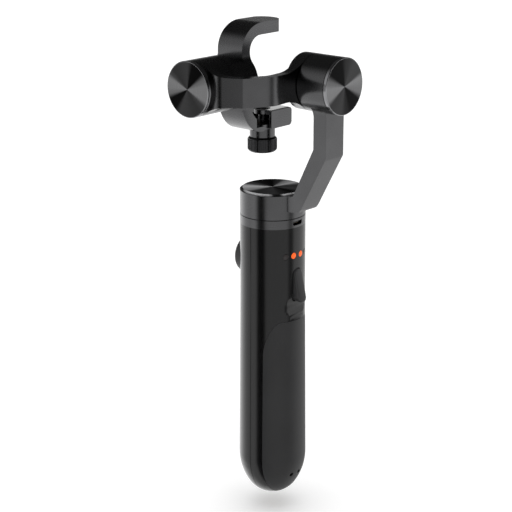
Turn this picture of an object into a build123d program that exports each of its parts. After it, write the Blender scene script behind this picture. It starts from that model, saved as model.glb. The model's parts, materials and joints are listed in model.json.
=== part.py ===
from build123d import *
import os
from math import atan2, cos, hypot, pi, sin, sqrt

# Hand-held three-axis camera gimbal, in millimetres.
# +Z runs up the handle along the pan axis and z=0 is the flat at the bottom of the handle, at the
# mouth of the tripod thread. -Y is the user's side (trigger, lights, socket, roll motor), +Y the
# side the camera looks to (joystick). -X is the side of the tilt motor. The roll axis runs along Y
# through x=0, and the tilt axis along X through y=TILT_Y.
# Written order: clearances, driving sizes, helpers, then one section for each moving body.

# ---------------------------------------------------------------- clearances
RUN_FIT = 0.04           # radial play of a turning pin, shaft or screw
MOTOR_GAP = 0.4          # between the fixed and the turning half of a motor
PANEL_GAP = 0.12         # joint line round the grip panel
BUTTON_GAP = 0.45        # round the trigger
SLIDE_GAP = 0.3          # jaw skirts to the tongue they straddle, board carrier to the shells
END_PLAY = 0.1           # axial play of the screw in the jaw

# ---------------------------------------------------------------- handle sizes
HANDLE_R = 17.5          # straight upper part
BELLY_R = 18.5           # fullest part of the grip
BELLY_Z = 24.0           # height where the rounded bottom begins
NOSE_DROP = 0.7          # the rounded bottom would end this far under z=0, which cuts it flat
NOSE_SIDE_R = 32.0       # radius of the side where it starts to round in
TAPER_Z = 123.4          # the straight part starts here
HANDLE_TOP = 157.0
WALL = 2.4
FLOOR_Z = 12.0           # inside floor
SEAM_W, SEAM_D = 0.3, 0.3
INSERT_R, INSERT_L, THREAD_R, THREAD_L = 4.6, 10.5, 2.6, 9.0
PANEL_Y = -7.3           # the grip panel is all that lies behind this plane
PANEL_TOP = 105.4
PANEL_T = 1.2
PANEL_CORNER = (6.6, 21.0)   # half axes of the panel's rounded upper corners, in X and Z
STRAP_R, STRAP_X, STRAP_Z = 1.2, 3.0, 14.4
LIGHT_Z, LIGHT_R, LIGHT_ANGLES = 141.7, 1.7, (25.5, 9.0, -9.0, -25.5)
CELL_R, CELL_L, CELL_Z = 13.1, 65.5, 27.0

# ---------------------------------------------------------------- trigger and joystick sizes
TRIGGER_W, TRIGGER_TOP, TRIGGER_BOTTOM = 6.0, 134.4, 115.9
TRIGGER_LEAN = 13.0      # degrees that its face leans out towards the bottom
TRIGGER_BACK_Y = -12.4
TRIGGER_PIN_Y, TRIGGER_PIN_Z, TRIGGER_PIN_R = -14.2, 132.2, 0.75
SCOOP_R, SCOOP_DEPTH, SCOOP_Z = 30.0, 1.2, 113.9
STICK_Z, STICK_R, STICK_FACE_Y, STICK_RIM_Y = 135.7, 10.4, 20.0, 17.9
STICK_SEAT_Y, STICK_PIVOT_Y = 12.6, 8.6
STICK_PIN_R, STICK_STEM_R = 0.6, 1.6

# ---------------------------------------------------------------- motor sizes
SHAFT_R = 2.0
BEARING_R, BEARING_L = 4.0, 2.5
CARRIER_R = 5.0          # tube that holds the bearings and carries the stator
STATOR_R, STATOR_L, STATOR_CORE, TEETH = 10.2, 6.0, 1.7, 9
MAGNET_T, MAGNET_L = 1.5, 8.8
COIL_OVERHANG = 1.3
CAN_WALL = 1.6
PLATE_SEAT = 2.0         # depth the shaft goes into its plate
DISC_BEVEL = 0.5
NECK_W, NECK_D = 0.4, 0.7    # shadow groove behind an end disc

# ---------------------------------------------------------------- pan motor and arm sizes
PAN_RING_H = 4.7         # fixed ring under the pan housing
PAN_CUP_H = 12.8         # turning housing
PAN_PLATE_T = 2.3
PAN_DISC_R, PAN_DISC_T = 16.6, 1.0
AXIS_RISE = 60.2         # tilt and roll axes above the pan housing's top
ROLL_FACE_Y, ROLL_R = -47.3, 14.5
ROLL_CAN_L = 18.8        # from the end disc's face to the can's open end
ROLL_DISC_T = 2.2
ARM_OUT_Y, ARM_T, ARM_W = -41.5, 8.2, 14.0
ARM_KNEE = 36.5          # the outer knee is this far under the roll axis
ARM_FLARE_R = 8.0

# ---------------------------------------------------------------- roll bracket and tilt motor sizes
ROLL_PLATE_T = 7.2       # turning half of the roll motor
TILT_Y = 5.6
TILT_FACE_X, TILT_R = -57.0, 14.1
TILT_CAN_L = 19.0
TILT_DISC_T = 2.8
STRAP_H, STRAP_T = 14.4, 4.9     # the bent strap from the roll motor to the tilt motor
STRAP_FLARE_R = 24.0
STRAP_BENDS = [10.0, 3.0, 14.0, 4.0]    # outside radii of its bends, from the tilt end

# ---------------------------------------------------------------- camera cage and clamp sizes
HUB_FACE_X, WALL_FACE_X = -26.4, -20.5
CAGE_W = 16.6            # width of the hook, along Y
CLAMP_X = -2.0           # axis of the clamp screw
HOOK_SIDE_X, HOOK_END_R = 1.2, 9.3   # the hook's straight sides end here, and its end's radius in plan
HOOK_UNDER, HOOK_T = 22.7, 6.2   # hook's underside above the tilt axis, and its thickness
CAGE_DROP = 27.3         # underside of the lower arm below the tilt axis
CAGE_FLARE_R = 7.0
TONGUE_W, TONGUE_T, TONGUE_END_X = 13.0, 2.5, 9.6
BOSS_R, BOSS_H, BUSH_R = 6.7, 4.8, 3.9
JAW_LEFT_X, JAW_RIGHT_X, JAW_SKIRT, JAW_PLATE_T = -4.3, 12.0, 1.5, 2.4
JAW_TOP = 17.7           # jaw's face below the tilt axis, when the clamp is closed
JAW_TRAVEL = 4.4
JAW_LUG_R, JAW_CORNER = 4.4, 2.0
SCREW_R, JOURNAL_R = 2.5, 1.5
CLIP_R, CLIP_T = 2.9, 0.5
KNOB_R, KNOB_H, KNOB_RIBS, RIB_R = 7.8, 7.7, 40, 0.28
PAD_T, PAD_PROUD = 0.8, 0.2

# ---------------------------------------------------------------- derived places
PAN_RING_TOP = HANDLE_TOP + PAN_RING_H
PAN_CUP_Z = PAN_RING_TOP + MOTOR_GAP
PAN_TOP = PAN_CUP_Z + PAN_CUP_H
PAN_PLATE_Z = PAN_TOP - PAN_PLATE_T
AXIS_Z = PAN_TOP + AXIS_RISE
ROLL_CAN_END = ROLL_FACE_Y + ROLL_CAN_L
ROLL_PLATE_Y = ROLL_CAN_END + MOTOR_GAP
TILT_CAN_END = TILT_FACE_X + TILT_CAN_L
HUB_BACK_X = TILT_CAN_END + MOTOR_GAP
MAGNET_R = STATOR_R + MOTOR_GAP + MAGNET_T
CAGE_Y0, CAGE_Y1 = TILT_Y - CAGE_W / 2, TILT_Y + CAGE_W / 2
CAGE_BOTTOM = AXIS_Z - CAGE_DROP
TONGUE_TOP = CAGE_BOTTOM + TONGUE_T
HOOK_Z = AXIS_Z + HOOK_UNDER
JAW_Z = AXIS_Z - JAW_TOP
JAW_UNDER = JAW_Z - JAW_PLATE_T
KNOB_TOP = CAGE_BOTTOM - BOSS_H - SLIDE_GAP

BIG = 400.0
PARTS = {}


# ---------------------------------------------------------------- helpers
def disc(radius, z0, z1, bore=0.0):
    """Cylinder along Z from z0 to z1, with a hole if bore is given."""
    sketch = Circle(radius) - Circle(bore) if bore else Circle(radius)
    return extrude(Pos(0, 0, z0) * sketch, z1 - z0)


def block(x0, x1, y0, y1, z0, z1):
    """Box between two corners."""
    return Pos((x0 + x1) / 2, (y0 + y1) / 2, (z0 + z1) / 2) * Box(x1 - x0, y1 - y0, z1 - z0)


def along_y(shape, x, y, z):
    """Turn a shape modelled along +Z so that it runs along +Y, and place it."""
    return Pos(x, y, z) * Rot(-90, 0, 0) * shape


def along_x(shape, x, y, z):
    """Turn a shape modelled along +Z so that it runs along +X, and place it."""
    return Pos(x, y, z) * Rot(0, 90, 0) * shape


def prism_yz(points, x0, x1):
    """Extrude an outline given as (y, z) points from x0 to x1."""
    face = make_face(Polyline(*[(x0, y, z) for y, z in points], close=True))
    return extrude(face, amount=x1 - x0, dir=(1, 0, 0))


def bevel_rims(shape, axis, size, last=1):
    """Chamfer the outer edge of the face that lies furthest along an axis."""
    faces = shape.faces().sort_by(axis)
    face = faces[-1] if last else faces[0]
    return chamfer(face.outer_wire().edges(), size)


def flare(disc_r, half_w, fillet_r, length):
    """Sketch of a straight strap leaving a disc, its sides sweeping into the disc's rim.

    The disc's centre is the origin and the strap leaves along +X, up to x=length.
    """
    centre_y = half_w + fillet_r
    centre_x = sqrt((disc_r + fillet_r) ** 2 - centre_y ** 2)
    share = disc_r / (disc_r + fillet_r)
    web = Pos(centre_x / 2, 0) * Rectangle(centre_x, 2 * centre_y * share)
    for side in (1, -1):
        web -= Pos(centre_x, side * centre_y) * Circle(fillet_r)
    strap = Pos(length / 2, 0) * Rectangle(length, 2 * half_w)
    return web + strap + Circle(disc_r)


def offset_points(points, distance):
    """Shift an open outline sideways by a distance, to the left of its direction, with mitred bends."""
    normals = []
    for (ax, ay), (bx, by) in zip(points, points[1:]):
        run = hypot(bx - ax, by - ay)
        normals.append((-(by - ay) / run, (bx - ax) / run))
    shifted = []
    for i, (x, y) in enumerate(points):
        before = normals[max(i - 1, 0)]
        after = normals[min(i, len(normals) - 1)]
        scale = distance / (1 + before[0] * after[0] + before[1] * after[1])
        shifted.append((x + (before[0] + after[0]) * scale, y + (before[1] + after[1]) * scale))
    return shifted


def motor(name, place, depth, board_r):
    """Inner pieces of a motor, placed by place(shape).

    They are modelled along +Z with the turning plate's face at z=0 and the fixed end plate's face
    at z=-depth. The shaft and magnets turn with the plate, and the rest stays with the can.
    """
    stack_top = -(MAGNET_L - STATOR_L) / 2 - 0.6
    stack_low = stack_top - STATOR_L
    core_r, shoe_r = CARRIER_R + STATOR_CORE, STATOR_R - 0.9
    tooth_w, slot_w = 1.7, 1.1
    space = Circle(shoe_r) - Circle(core_r)
    openings = Sketch()
    for i in range(TEETH):
        turn = Rot(0, 0, 360 * i / TEETH)
        space -= turn * Pos((core_r + shoe_r) / 2, 0) * Rectangle(shoe_r - core_r + 2, tooth_w)
        half_step = Rot(0, 0, 360 * (i + 0.5) / TEETH)
        openings += half_step * Pos(STATOR_R - 0.6, 0) * Rectangle(1.8, slot_w)
    stator = Circle(STATOR_R) - Circle(CARRIER_R) - space - openings
    coils = extrude(Pos(0, 0, stack_low - COIL_OVERHANG) * space, STATOR_L + 2 * COIL_OVERHANG)
    coils += disc(shoe_r, stack_top, stack_top + COIL_OVERHANG, core_r)
    coils += disc(shoe_r, stack_low - COIL_OVERHANG, stack_low, core_r)
    bearing = disc(BEARING_R, 0, BEARING_L, SHAFT_R + RUN_FIT)
    PARTS[name + "_shaft"] = place(disc(SHAFT_R, -depth + 1.0, PLATE_SEAT))
    PARTS[name + "_magnet_ring"] = place(disc(MAGNET_R, -MAGNET_L, 0, MAGNET_R - MAGNET_T))
    PARTS[name + "_stator"] = place(extrude(Pos(0, 0, stack_low) * stator, STATOR_L))
    PARTS[name + "_windings"] = place(coils)
    PARTS[name + "_bearing_near"] = place(Pos(0, 0, -1.8 - BEARING_L) * bearing)
    PARTS[name + "_bearing_far"] = place(Pos(0, 0, -depth + 1.8) * bearing)
    PARTS[name + "_sensor_board"] = place(disc(board_r, -depth + 0.4, -depth + 1.4, CARRIER_R))


def carrier_tube(depth):
    """Tube on the fixed end plate that holds a motor's bearings, along +Z as in motor()."""
    tube = disc(CARRIER_R, -depth, -1.5, BEARING_R)
    return tube + disc(CARRIER_R, -depth + 1.8 + BEARING_L, -1.8 - BEARING_L, SHAFT_R + 0.8)


def end_disc(radius, thick):
    """Bevelled disc that closes a motor, along +Z with its outer face at z=0 and a neck behind it."""
    plate = bevel_rims(disc(radius, 0, thick - NECK_W), Axis.Z, DISC_BEVEL, last=0)
    return plate + disc(radius - NECK_D, thick - NECK_W, thick)


# ---------------------------------------------------------------- handle (root)
def handle_blank(inset):
    """Solid of the handle's outside, shrunk by an inset all round except at the top.

    Its bottom is a side arc that runs tangent into a smaller arc centred on the axis.
    """
    reach = NOSE_SIDE_R - BELLY_R
    drop = BELLY_Z + NOSE_DROP
    nose_r = (NOSE_SIDE_R ** 2 - reach ** 2 - drop ** 2) / (2 * (NOSE_SIDE_R - drop))
    nose_z = nose_r - NOSE_DROP
    turn = atan2(BELLY_Z - nose_z, reach)
    side_c, side_r, tip_r = (-reach, BELLY_Z), NOSE_SIDE_R - inset, nose_r - inset
    belly = (BELLY_R - inset, BELLY_Z)
    middle = (side_c[0] + side_r * cos(turn / 2), side_c[1] - side_r * sin(turn / 2))
    meet = (side_c[0] + side_r * cos(turn), side_c[1] - side_r * sin(turn))
    low = (turn + pi / 2) / 2
    under = (tip_r * cos(low), nose_z - tip_r * sin(low))
    tip = (0, nose_z - tip_r)
    upper = Polyline(tip, (0, HANDLE_TOP), (HANDLE_R - inset, HANDLE_TOP), (HANDLE_R - inset, TAPER_Z), belly)
    profile = make_face(upper + ThreePointArc(belly, middle, meet) + ThreePointArc(meet, under, tip))
    return revolve(Plane.XZ * profile, Axis.Z)


def panel_prism(gap):
    """Everything behind the grip panel's outline, shrunk by a gap."""
    corner_x, corner_z = PANEL_CORNER
    top = PANEL_TOP - gap
    rise = (top - corner_z - BELLY_Z) / (TAPER_Z - BELLY_Z)
    half = sqrt((BELLY_R + (HANDLE_R - BELLY_R) * rise) ** 2 - (PANEL_Y - gap) ** 2)
    arc = EllipticalCenterArc((half - corner_x, top - corner_z), corner_x, corner_z, 0)
    arc = arc + mirror(arc, Plane.YZ)
    flat = Line((half - corner_x, top), (corner_x - half, top))
    sides = Polyline((half, top - corner_z), (BELLY_R, top - corner_z), (BELLY_R, -5), (-BELLY_R, -5),
                     (-BELLY_R, top - corner_z), (-half, top - corner_z))
    outline = make_face(arc + flat + sides)
    prism = extrude(Plane.XZ * outline, BIG / 4, dir=(0, -1, 0))
    return prism & block(-BIG, BIG, -BIG, PANEL_Y - gap, -10, BIG)


def light_hole(angle, radius, r0, r1):
    """Cylinder pointing out of the handle at a light's place, between two distances from the axis."""
    rod = along_y(disc(radius, -r1, -r0), 0, 0, LIGHT_Z)
    return Rot(0, 0, angle) * rod


def capsule(width, z0, z1, y0, y1):
    """Upright capsule outline run along Y."""
    r = width / 2
    body = block(-r, r, y0, y1, z0 + r, z1 - r)
    for z in (z0 + r, z1 - r):
        body += along_y(disc(r, y0, y1), 0, 0, z)
    return body


outside = handle_blank(0)
inside = handle_blank(WALL) & block(-BIG, BIG, -BIG, BIG, FLOOR_Z, HANDLE_TOP)
seam = block(-BIG / 8, BIG / 8, -SEAM_W / 2, SEAM_W / 2, -5, HANDLE_TOP + 5) - handle_blank(SEAM_D)
shell = (outside & block(-BIG, BIG, -BIG, BIG, 0, HANDLE_TOP)) - inside - seam
shell -= disc(INSERT_R, 0, INSERT_L)

SCREW_PLACES = [(11.4, 99.0), (-11.4, 99.0), (9.5, 18.0), (-9.5, 18.0)]
POST_R, FIX_R, FIX_HEAD_R = 2.2, 1.0, 1.6
POST_BACK, FIX_HEAD_Y, FIX_TIP_Y = 11.5, -8.0, 6.5
posts = [along_y(disc(POST_R, -POST_BACK, POST_BACK), x, 0, z) & handle_blank(WALL / 2)
         for x, z in SCREW_PLACES]
for post in posts:
    shell += post
front_shell = shell & block(-BIG, BIG, 0, BIG, -5, BIG)
rear_shell = shell & block(-BIG, BIG, -BIG, 0, -5, BIG)
for i, (x, z) in enumerate(SCREW_PLACES):
    screw = along_y(disc(FIX_R, FIX_HEAD_Y, FIX_TIP_Y), x, 0, z)
    head = along_y(disc(FIX_HEAD_R, FIX_HEAD_Y - 1.2, FIX_HEAD_Y), x, 0, z)
    access = along_y(disc(FIX_HEAD_R, -BIG / 8, FIX_HEAD_Y), x, 0, z)
    front_shell -= screw
    rear_shell -= screw + access
    PARTS[f"shell_screw_{i + 1}"] = screw + head

# grip panel, set into the rear shell
panel_band = outside - handle_blank(PANEL_T)
panel_band &= block(-BIG, BIG, -BIG, BIG, 0, BIG)
rear_shell -= panel_band & panel_prism(0)
grip_panel = panel_band & panel_prism(PANEL_GAP)

# strap block behind the two strap holes, joined inside by a cross tunnel
strap_block = block(-STRAP_X - 3, STRAP_X + 3, -BELLY_R, PANEL_Y, FLOOR_Z - 1, STRAP_Z + 4)
rear_shell += strap_block & handle_blank(WALL / 2)
strap_depth = PANEL_Y - 2.5
for x in (STRAP_X, -STRAP_X):
    hole = along_y(disc(STRAP_R, -BIG / 8, strap_depth), x, 0, STRAP_Z)
    rear_shell -= hole
    grip_panel -= hole
rear_shell -= along_x(disc(STRAP_R, -STRAP_X, STRAP_X), 0, strap_depth - STRAP_R, STRAP_Z)

# trigger opening with a finger scoop below it
TRIGGER_HALF = TRIGGER_W / 2
window = capsule(TRIGGER_W + 2 * BUTTON_GAP, TRIGGER_BOTTOM - BUTTON_GAP, TRIGGER_TOP + BUTTON_GAP / 2,
                 -BIG / 8, TRIGGER_BACK_Y + 1)
scoop = along_x(disc(SCOOP_R, -BIG / 8, BIG / 8), 0, SCOOP_DEPTH - HANDLE_R - SCOOP_R, SCOOP_Z)
PIN_HALF = sqrt((HANDLE_R - WALL / 2) ** 2 - TRIGGER_PIN_Y ** 2)
trigger_pin = along_x(disc(TRIGGER_PIN_R, -PIN_HALF, PIN_HALF), 0, TRIGGER_PIN_Y, TRIGGER_PIN_Z)
PIN_EAR = PIN_HALF - TRIGGER_HALF - BUTTON_GAP
for side in (1, -1):
    ear_x = side * (TRIGGER_HALF + BUTTON_GAP + PIN_EAR / 2)
    ear = Pos(ear_x, TRIGGER_PIN_Y, TRIGGER_PIN_Z) * Box(PIN_EAR, 4 * TRIGGER_PIN_R, 4 * TRIGGER_PIN_R)
    rear_shell += ear & handle_blank(WALL / 2)
rear_shell -= window + scoop + trigger_pin
for angle in LIGHT_ANGLES:
    rear_shell -= light_hole(angle, LIGHT_R, HANDLE_R - WALL - 1, HANDLE_R + 1)

# joystick seat: a round dish with a flat floor and a hole for the stem
SEAT_R, STEM_HOLE_R, SEAT_T = STICK_R + 0.9, 3.6, 1.4
dish_wall = along_y(disc(SEAT_R + 1.2, STICK_SEAT_Y - SEAT_T, HANDLE_R), 0, 0, STICK_Z)
front_shell += dish_wall & handle_blank(WALL / 2) & block(-BIG, BIG, 0, BIG, 0, BIG)
front_shell -= along_y(disc(SEAT_R, STICK_SEAT_Y, BIG / 8), 0, 0, STICK_Z)
front_shell -= along_y(disc(STEM_HOLE_R, STICK_SEAT_Y - 3, STICK_SEAT_Y + 1), 0, 0, STICK_Z)

PARTS["front_shell"] = front_shell
PARTS["rear_shell"] = rear_shell
PARTS["grip_panel"] = grip_panel
PARTS["trigger_pin"] = trigger_pin
PARTS["tripod_insert"] = disc(INSERT_R, 0, INSERT_L) - disc(THREAD_R, 0, THREAD_L)
for i, angle in enumerate(LIGHT_ANGLES):
    PARTS[f"indicator_light_{i + 1}"] = light_hole(angle, LIGHT_R, HANDLE_R - WALL - 0.5, HANDLE_R)

# cell, contacts, carrier and board
BOARD_Y, BOARD_T = 1.2, 1.6
CARRIER_Z = CELL_Z + CELL_L + 1.0
cell = disc(CELL_R, CELL_Z, CELL_Z + CELL_L) + disc(3.0, CELL_Z + CELL_L, CARRIER_Z)
carrier = disc(HANDLE_R - WALL - SLIDE_GAP, CARRIER_Z, CARRIER_Z + 1.6) & handle_blank(WALL + SLIDE_GAP)
carrier += block(-9.0, 9.0, -BOARD_Y, BOARD_Y, CARRIER_Z, HANDLE_TOP - 0.2)
PARTS["battery_cell"] = cell
PARTS["cell_contact"] = disc(8.0, CELL_Z - 1.2, CELL_Z) + disc(5.0, FLOOR_Z, CELL_Z - 1.2)
PARTS["board_carrier"] = carrier
PARTS["main_board"] = block(-9.0, 9.0, BOARD_Y, BOARD_Y + BOARD_T, CARRIER_Z + 4, HANDLE_TOP - 6)
switch = block(-3, 3, -9.6, -BOARD_Y, TRIGGER_BOTTOM + 1.5, TRIGGER_BOTTOM + 7.5)
PARTS["trigger_switch"] = switch + along_y(disc(1.2, -10.4, -9.6), 0, 0, TRIGGER_BOTTOM + 4.5)

# fixed ring of the pan motor, with the charging socket in its rim
SOCKET_W, SOCKET_H, SOCKET_T, SOCKET_L = 7.6, 3.0, 0.35, 5.0
SOCKET_Z = HANDLE_TOP + PAN_RING_H / 2
PAN_DEPTH = PAN_PLATE_Z - HANDLE_TOP - CAN_WALL
socket_blank = Pos(0, -HANDLE_R + SOCKET_L / 2 + 0.3, SOCKET_Z) * Box(SOCKET_W, SOCKET_L, SOCKET_H)
socket_blank = chamfer(socket_blank.edges().filter_by(Axis.Y).group_by(Axis.Z)[0], 0.8)
socket_hollow = Pos(0, -HANDLE_R + SOCKET_L / 2 - 0.2, SOCKET_Z) * Box(
    SOCKET_W - 2 * SOCKET_T, SOCKET_L, SOCKET_H - 2 * SOCKET_T)
socket_hollow = chamfer(socket_hollow.edges().filter_by(Axis.Y).group_by(Axis.Z)[0], 0.6)
pan_ring = disc(HANDLE_R, HANDLE_TOP, PAN_RING_TOP, HANDLE_R - CAN_WALL)
pan_ring += disc(HANDLE_R, HANDLE_TOP, HANDLE_TOP + CAN_WALL, SHAFT_R + 0.8)
pan_ring += Pos(0, 0, PAN_PLATE_Z) * carrier_tube(PAN_DEPTH)
pan_ring += block(-SOCKET_W / 2 - 1, SOCKET_W / 2 + 1, -HANDLE_R + 1, -HANDLE_R + SOCKET_L + 1.5,
                  HANDLE_TOP, PAN_RING_TOP) & disc(HANDLE_R, 0, BIG)
pan_ring -= socket_blank + Pos(0, -2, 0) * socket_hollow
PARTS["pan_base_ring"] = pan_ring
PARTS["usb_socket"] = socket_blank - socket_hollow

# joystick base: a ring fixed behind the dish, with pivot holes above and below
RING_T = 2.6
RING_R = 5.0
BASE_R, BASE_BORE, BASE_EDGE = 8.2, 6.0, 0.3
base = along_y(disc(BASE_R, -RING_T / 2, RING_T / 2, BASE_BORE), 0, STICK_PIVOT_Y, STICK_Z)
base -= Pos(0, STICK_PIVOT_Y, STICK_Z) * disc(STICK_PIN_R + RUN_FIT, -BASE_R - 1, BASE_R + 1)
for x in (-BASE_R, BASE_BORE + BASE_EDGE):
    base += block(x + BASE_EDGE, x + BASE_R - BASE_BORE - BASE_EDGE, BOARD_Y + BOARD_T,
                  STICK_PIVOT_Y - RING_T / 2, STICK_Z - 2, STICK_Z + 2)
PARTS["joystick_base"] = base

# ---------------------------------------------------------------- joystick ring and joystick
ring = along_y(disc(RING_R, -RING_T / 2, RING_T / 2, RING_R - 1.8), 0, STICK_PIVOT_Y, STICK_Z)
ring_pins = disc(STICK_PIN_R, RING_R - 0.5, BASE_R - 0.4)
ring_pins += disc(STICK_PIN_R, 0.4 - BASE_R, 0.5 - RING_R)
ring += Pos(0, STICK_PIVOT_Y, STICK_Z) * ring_pins
ring -= along_x(disc(STICK_PIN_R + RUN_FIT, -RING_R - 1, RING_R + 1), 0, STICK_PIVOT_Y, STICK_Z)
PARTS["joystick_ring"] = ring

stem = along_y(disc(STICK_STEM_R, -1.3, STICK_RIM_Y - STICK_PIVOT_Y), 0, STICK_PIVOT_Y, STICK_Z)
stem += along_x(disc(STICK_PIN_R, 0.3 - RING_R, RING_R - 0.3), 0, STICK_PIVOT_Y, STICK_Z)
CAP_BACK_Y = STICK_SEAT_Y + 1.2
DOME_RISE = STICK_FACE_Y - STICK_RIM_Y
DOME_R = (STICK_R ** 2 + DOME_RISE ** 2) / (2 * DOME_RISE)
dome_middle = (STICK_R / 2, STICK_FACE_Y - DOME_R + sqrt(DOME_R ** 2 - STICK_R ** 2 / 4))
rim, crown = (STICK_R, STICK_RIM_Y), (0, STICK_FACE_Y)
cap_profile = Polyline(crown, (0, CAP_BACK_Y), (STICK_R, CAP_BACK_Y), rim)
cap_profile += ThreePointArc(rim, dome_middle, crown)
cap = along_y(revolve(Plane.XZ * make_face(cap_profile), Axis.Z), 0, 0, STICK_Z)
cap -= along_y(disc(STICK_STEM_R, CAP_BACK_Y - 1, STICK_RIM_Y), 0, 0, STICK_Z)
PARTS["joystick_stem"] = stem
PARTS["joystick_cap"] = cap

# ---------------------------------------------------------------- trigger
button = capsule(TRIGGER_W, TRIGGER_BOTTOM, TRIGGER_TOP, -BIG / 8, TRIGGER_BACK_Y)
lean = Pos(0, 0, TRIGGER_TOP) * Rot(-TRIGGER_LEAN, 0, 0) * Cylinder(HANDLE_R + 0.1, 80)
button = button & lean
button = fillet(button.faces().sort_by(Axis.Y)[0].outer_wire().edges(), 0.8)
button -= along_x(disc(TRIGGER_PIN_R + RUN_FIT, -9, 9), 0, TRIGGER_PIN_Y, TRIGGER_PIN_Z)
PARTS["trigger_button"] = button

# ---------------------------------------------------------------- pan arm
ROLL_DEPTH = ROLL_PLATE_Y - ROLL_FACE_Y - ROLL_DISC_T - CAN_WALL
PAN_INNER_R = HANDLE_R - CAN_WALL
ROLL_INNER_R = ROLL_R - CAN_WALL
knee_z = AXIS_Z - ARM_KNEE
inner_y = ARM_OUT_Y + ARM_T
arm_outline = [(ARM_OUT_Y, AXIS_Z), (ARM_OUT_Y, knee_z), (ARM_OUT_Y + 0.7, knee_z - 1.4),
               (-HANDLE_R - 8.0, PAN_TOP - 5.6), (-HANDLE_R - 6.6, PAN_TOP - 7.3),
               (-HANDLE_R - 3.5, PAN_TOP - 8.1), (-HANDLE_R + 3.0, PAN_TOP - 8.6),
               (-HANDLE_R + 3.0, PAN_TOP), (-HANDLE_R - 1.3, PAN_TOP),
               (-HANDLE_R - 2.4, PAN_TOP + 0.6), (-HANDLE_R - 3.0, PAN_TOP + 1.6),
               (inner_y, knee_z + 3.6), (inner_y, AXIS_Z)]
arm = prism_yz(arm_outline, -ARM_W / 2, ARM_W / 2)
arm_flare = flare(ROLL_R, ARM_W / 2, ARM_FLARE_R, ROLL_R + ARM_FLARE_R)
arm += along_y(extrude(Rot(0, 0, 90) * arm_flare, ARM_T), 0, ARM_OUT_Y, AXIS_Z)
arm += along_y(disc(ROLL_R, ROLL_FACE_Y + ROLL_DISC_T, ROLL_CAN_END), 0, 0, AXIS_Z)
arm += disc(HANDLE_R, PAN_CUP_Z, PAN_TOP)
arm -= disc(PAN_INNER_R, PAN_CUP_Z - 1, PAN_PLATE_Z)
arm -= disc(SHAFT_R, PAN_PLATE_Z - 1, PAN_PLATE_Z + min(PLATE_SEAT, PAN_PLATE_T - 0.3))
arm -= along_y(disc(ROLL_INNER_R, ROLL_PLATE_Y - ROLL_DEPTH, ROLL_CAN_END + 1), 0, 0, AXIS_Z)
arm += along_y(carrier_tube(ROLL_DEPTH), 0, ROLL_PLATE_Y, AXIS_Z)
pan_disc = bevel_rims(disc(PAN_DISC_R, PAN_TOP - 0.3, PAN_TOP + PAN_DISC_T), Axis.Z, DISC_BEVEL)
pan_disc -= prism_yz(arm_outline, -ARM_W / 2 - 0.2, ARM_W / 2 + 0.2)
PARTS["pan_arm"] = arm - pan_disc
PARTS["pan_top_disc"] = pan_disc
PARTS["roll_end_disc"] = along_y(end_disc(ROLL_R, ROLL_DISC_T), 0, ROLL_FACE_Y, AXIS_Z)

# ---------------------------------------------------------------- roll bracket
TILT_DEPTH = HUB_BACK_X - TILT_FACE_X - TILT_DISC_T - CAN_WALL
TILT_INNER_R = TILT_R - CAN_WALL
strap_x = TILT_FACE_X + 4.1
strap_y = ROLL_PLATE_Y
strap_outside = [(strap_x, TILT_Y), (strap_x, TILT_Y - TILT_R - 2.0), (strap_x + 6.6, strap_y + 5.7),
                 (strap_x + 19.9, strap_y - 1.8), (-ROLL_R, strap_y), (0, strap_y)]
strap_inside = offset_points(strap_outside, STRAP_T)
outer_edge = FilletPolyline(*strap_outside, radius=STRAP_BENDS)
inner_edge = FilletPolyline(*strap_inside, radius=[max(r - STRAP_T, 0.6) for r in STRAP_BENDS])
ends = Line(strap_outside[0], strap_inside[0]) + Line(strap_outside[-1], strap_inside[-1])
strap_face = make_face(outer_edge + inner_edge + ends)
tall_strap = extrude(Pos(0, 0, AXIS_Z - 20) * strap_face, 40)
side_view = block(-BIG / 4, 0, -BIG / 4, BIG / 4, AXIS_Z - STRAP_H / 2, AXIS_Z + STRAP_H / 2)
tilt_flare = flare(TILT_R, STRAP_H / 2, STRAP_FLARE_R, TILT_R + STRAP_FLARE_R)
roll_flare = flare(ROLL_R, STRAP_H / 2, STRAP_FLARE_R, ROLL_R + STRAP_FLARE_R)
side_view += along_x(extrude(Rot(0, 0, -90) * tilt_flare, 9), strap_x - 1, TILT_Y, AXIS_Z)
side_view += along_y(extrude(Rot(0, 0, 180) * roll_flare, STRAP_T + 4), 0, strap_y - 3, AXIS_Z)
bracket = tall_strap & side_view
bracket += along_x(disc(TILT_R, TILT_FACE_X + TILT_DISC_T, TILT_CAN_END), 0, TILT_Y, AXIS_Z)
bracket += along_y(disc(ROLL_R, ROLL_PLATE_Y, ROLL_PLATE_Y + ROLL_PLATE_T), 0, 0, AXIS_Z)
bracket -= along_y(disc(SHAFT_R, -1, PLATE_SEAT), 0, ROLL_PLATE_Y, AXIS_Z)
bracket -= along_x(disc(TILT_INNER_R, HUB_BACK_X - TILT_DEPTH, TILT_CAN_END + 1), 0, TILT_Y, AXIS_Z)
bracket += along_x(carrier_tube(TILT_DEPTH), HUB_BACK_X, TILT_Y, AXIS_Z)
PARTS["roll_bracket"] = bracket
PARTS["tilt_end_disc"] = along_x(end_disc(TILT_R, TILT_DISC_T), TILT_FACE_X, TILT_Y, AXIS_Z)

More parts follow.
